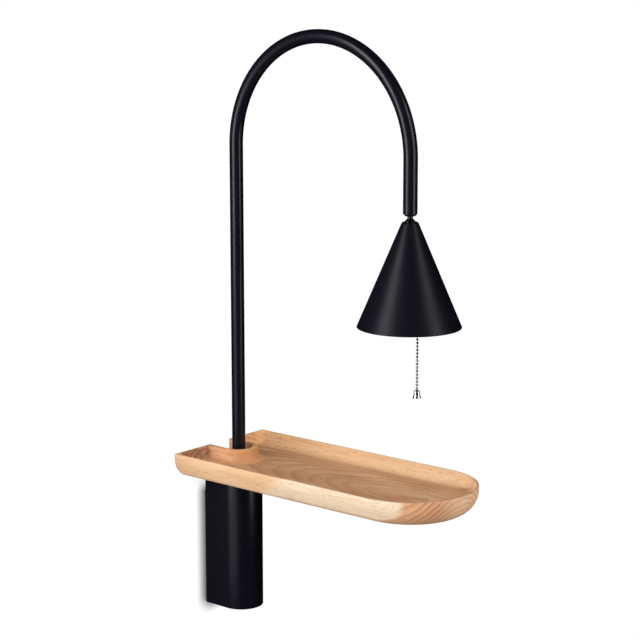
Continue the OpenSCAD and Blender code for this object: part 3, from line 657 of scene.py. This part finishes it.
zinc = metal("zinc_plated_steel", "#b9bdc3", 0.34, 6)
nickel = metal("nickel_plate", "#c4c1ba", 0.24, 3)
brass = metal("turned_brass", "#cfa75a", 0.25, 3)
# Painted shade: a darker copy of the nickel, for the bead chain.
nickel_with_painted_shade = metal("nickel_beads_painted_shade", "#8f8c86", 0.15, 3)
black_nickel = metal("black_nickel_steel", "#2b2a2d", 0.18, 3)
oxide = metal("black_oxide_screw", "#1d1d20", 0.38, 2)


# %% Plastics, rubber and ceramic
MOULD_GRAIN_MM, FROST_MM, GRAIN_DEPTH = 0.5, 0.4, 0.01


def moulded(name, colour, roughness):
    """A plastic with the fine grain of its mould."""
    made, tree, shader = material(name, colour, roughness)
    place = add(tree, "ShaderNodeTexCoord").outputs["Object"]
    feeds = {"Vector": place, "Scale": 1 / (MOULD_GRAIN_MM * MM), "Detail": 1}
    grain = add(tree, "ShaderNodeTexNoise", feeds)
    bump(tree, shader, grain.outputs["Fac"], GRAIN_DEPTH)
    return made


nylon = moulded("moulded_nylon_natural", "#dedbcd", 0.45)
dark_nylon = moulded("moulded_nylon_black", "#17171a", 0.5)
rubber = moulded("rubber_black", "#1b1b1c", 0.7)
jacket = moulded("cable_jacket_black", "#1e1e20", 0.5)
terminal_white = moulded("moulded_terminal_white", "#e9e7df", 0.35)
steatite = moulded("steatite_ceramic", "#e8e4d8", 0.55)
phosphor = moulded("phosphor_coating", "#e3bd55", 0.6)
bulb_glass, tree, shader = material(
    "frosted_bulb_cover", "#f4f2ec", 0.45, Transmission_Weight=0.35
)
place = add(tree, "ShaderNodeTexCoord").outputs["Object"]
frost = add(tree, "ShaderNodeTexNoise", {"Vector": place, "Scale": 1 / (FROST_MM * MM)})
bump(tree, shader, frost.outputs["Fac"], GRAIN_DEPTH)

# %% Every solid and piece gets its finish
FINISHES = {
    "black_metal": black_coat,
    "shade_metal": shade_coat,
    "steel": zinc,
    "dark_steel": oxide,
    "wood": wood,
    "brass": brass,
    "nylon": nylon,
    "dark_nylon": dark_nylon,
    "dark_plastic": dark_nylon,
    "rubber": rubber,
    "cable": jacket,
    "white_plastic": terminal_white,
    "nickel": nickel,
    "ceramic": steatite,
    "bulb_glass": bulb_glass,
    "led": phosphor,
}
SLOT_OF = {part["node"]: part["material_slot"] for part in frame["record"]["subparts"]}
for name, solid in nodes.items():
    solid.data.materials.clear()
    solid.data.materials.append(FINISHES[SLOT_OF[name]])
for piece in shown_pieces():
    if "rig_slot" in piece:
        piece.data.materials.clear()
        piece.data.materials.append(FINISHES[piece["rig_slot"]])
# The ball stem and the bead chain are glossier than the other pieces of their slots. The
# chain's nickel is also darker than the fob's: painted shade on its small beads.
ball_stem.data.materials[0] = black_nickel
nodes["pull_chain"].data.materials[0] = nickel_with_painted_shade

# %% [markdown]
# ## The studio
# A pale wall stands behind the lamp and runs down into a pale floor. Seen from behind it is
# clear, so that the lamp can be looked at from there too. To the camera, and through glass, it
# is plain white, and it darkens only close around the wall box, as a soft shadow there does.
# It throws no shadow itself, and reflections don't see it, because the left soft box stands
# behind its plane.

# %% The wall and floor
WALL_GAP = 1.0
WALL_SIZE, WALL_MIDDLE_Z = 4.0, 0.7
clear_selection()
bpy.ops.mesh.primitive_plane_add(
    size=WALL_SIZE, location=(0, WALL_GAP * MM, WALL_MIDDLE_Z), rotation=(math.pi / 2, 0, 0)
)
backdrop = start("pale_wall_and_floor")
pick(backdrop, lambda at: at.z < 0)
extrude(0, -WALL_SIZE / MM, 0)
bpy.ops.mesh.select_all(action="SELECT")
bpy.ops.object.mode_set(mode="OBJECT")
bpy.ops.object.transform_apply(location=True, rotation=True, scale=True)
backdrop.visible_shadow = False
backdrop.visible_glossy = False

# %% The wall's paint and the lamp's shadow on it
# The shadow fades out this far to the left, in X, and sets in this far below the box's top.
CONTACT_MM, CONTACT_POWER = 16, 2.6
SHADOW_FADES, SHADOW_FULL = -52, -46
BELOW_TOP, FULL_BELOW_TOP = 8, 26
pale = bpy.data.materials.new("pale_matt_paint")
pale.use_nodes = True
tree = pale.node_tree
tree.nodes.remove(tree.nodes["Principled BSDF"])
paint = add(tree, "ShaderNodeBsdfDiffuse", {"Color": linear("#c8c8c8")})
spot = add(tree, "ShaderNodeTexCoord").outputs["Object"]
axes = add(tree, "ShaderNodeSeparateXYZ", {"Vector": spot})
near = add(tree, "ShaderNodeAmbientOcclusion", {"Distance": CONTACT_MM * MM}, samples=16)
feeds = {0: near.outputs["AO"], 1: CONTACT_POWER}
deep = add(tree, "ShaderNodeMath", feeds, operation="POWER")
feeds = {
    "Value": axes.outputs["X"],
    "From Min": SHADOW_FADES * MM,
    "From Max": SHADOW_FULL * MM,
}
within = add(tree, "ShaderNodeMapRange", feeds)
feeds = {
    "Value": axes.outputs["Z"],
    "From Min": (BOX_TOP - BELOW_TOP) * MM,
    "From Max": (BOX_TOP - FULL_BELOW_TOP) * MM,
}
low = add(tree, "ShaderNodeMapRange", feeds)
feeds = {0: low.outputs[0], 1: within.outputs[0]}
share = add(tree, "ShaderNodeMath", feeds, operation="MULTIPLY")
feeds = {0: share.outputs[0], 2: 1.0, 3: deep.outputs[0]}
contact = add(tree, "ShaderNodeMix", feeds, data_type="FLOAT")
feeds = {"Color": linear("#ffffff"), "Strength": contact.outputs[0]}
glow = add(tree, "ShaderNodeEmission", feeds)
rays = add(tree, "ShaderNodeLightPath")
feeds = {0: rays.outputs["Is Camera Ray"], 1: rays.outputs["Is Transmission Ray"]}
seen = add(tree, "ShaderNodeMath", feeds, operation="MAXIMUM")
feeds = {0: seen.outputs[0], 1: paint.outputs[0], 2: glow.outputs[0]}
wall_look = add(tree, "ShaderNodeMixShader", feeds)
clear = add(tree, "ShaderNodeBsdfTransparent")
side = add(tree, "ShaderNodeNewGeometry").outputs["Backfacing"]
feeds = {0: side, 1: wall_look.outputs[0], 2: clear.outputs[0]}
both = add(tree, "ShaderNodeMixShader", feeds)
tree.links.new(both.outputs[0], tree.nodes["Material Output"].inputs["Surface"])
backdrop.data.materials.append(pale)

# %% [markdown]
# A photographer keeps black surfaces black by standing dark flags around them, out of the
# picture. Here one drum of dark cloth does that. Only reflections can see it. Without it the
# black coat turns grey at every edge, because it would mirror the white surroundings.

# %% The dark flags
DRUM_R, DRUM_TALL, DRUM_MIDDLE = 2.8, 6.0, (0, -0.16, 1.2)
clear_selection()
bpy.ops.mesh.primitive_cylinder_add(
    vertices=64, radius=DRUM_R, depth=DRUM_TALL, end_fill_type="NGON", location=DRUM_MIDDLE
)
flags = start("dark_flags")
bpy.ops.mesh.normals_make_consistent(inside=True)
bpy.ops.object.mode_set(mode="OBJECT")
bpy.ops.object.transform_apply(location=True, rotation=True, scale=True)
flags.visible_camera = flags.visible_diffuse = flags.visible_transmission = False
flags.visible_shadow = False
cloth = bpy.data.materials.new("black_flag_cloth")
cloth.use_nodes = True
weave = cloth.node_tree.nodes["Principled BSDF"]
weave.inputs["Base Color"].default_value = linear("#050506")
weave.inputs["Specular IOR Level"].default_value = 0.0
flags.data.materials.append(cloth)

# %% The white surroundings
AMBIENT = 0.27
world = bpy.data.worlds.new("white_surroundings")
bpy.context.scene.world = world
world.use_nodes = True
tree = world.node_tree
rays = add(tree, "ShaderNodeLightPath")
feeds = {0: rays.outputs["Is Camera Ray"], 1: rays.outputs["Is Glossy Ray"]}
direct = add(tree, "ShaderNodeMath", feeds, operation="MAXIMUM")
feeds = {0: direct.outputs[0], 1: rays.outputs["Is Transmission Ray"]}
shown = add(tree, "ShaderNodeMath", feeds, operation="MAXIMUM")
feeds = {"Value": shown.outputs[0], "To Min": AMBIENT, "To Max": 1.0}
strength = add(tree, "ShaderNodeMapRange", feeds)
sky = tree.nodes["Background"]
sky.inputs["Color"].default_value = linear("#ffffff")
tree.links.new(strength.outputs["Result"], sky.inputs["Strength"])


# %% [markdown]
# Two tall strip boxes, one on each side, make the long soft stripes on the black tube, the box
# and the cone. The left strip would throw a hard shadow of the tube onto the wood, so it lights
# nothing matt: a wide silk in the same place does that, and reflections don't see the silk. A
# low box and a fill from underneath open up the shadows below the tray and inside the shade.


# %% Soft boxes
LAMP_MIDDLE = Vector((0, -0.16, 0.28))


def soft_box(name, aside_deg, elevation_deg, distance, wide, tall, watts):
    """An area lamp, turned aside from the camera's direction, that faces the lamp's middle."""
    angle = AZIMUTH + math.radians(aside_deg)
    lift = math.radians(elevation_deg)
    towards = Vector(
        (math.sin(angle) * math.cos(lift), -math.cos(angle) * math.cos(lift), math.sin(lift))
    )
    data = bpy.data.lights.new(name, "AREA")
    data.shape, data.size, data.size_y, data.energy = "RECTANGLE", wide, tall, watts
    lamp = bpy.data.objects.new(name, data)
    bpy.context.scene.collection.objects.link(lamp)
    lamp.location = LAMP_MIDDLE + towards * distance
    lamp.rotation_mode = "QUATERNION"
    lamp.rotation_quaternion = towards.to_track_quat("Z", "Y")
    lamp.visible_camera = False
    return lamp


soft_box("left_soft_box", -58, 18, 1.6, 0.6, 1.5, 34).visible_diffuse = False
soft_box("left_silk", -58, 18, 1.6, 1.8, 1.8, 56).visible_glossy = False
soft_box("left_low_box", -47, -16, 1.6, 1.2, 1.2, 6)
soft_box("under_fill", -40, -42, 1.6, 1.0, 1.0, 7).visible_glossy = False
soft_box("right_soft_box", 60, 14, 1.6, 0.6, 1.7, 22)
bpy.context.scene.view_settings.view_transform = "Standard"
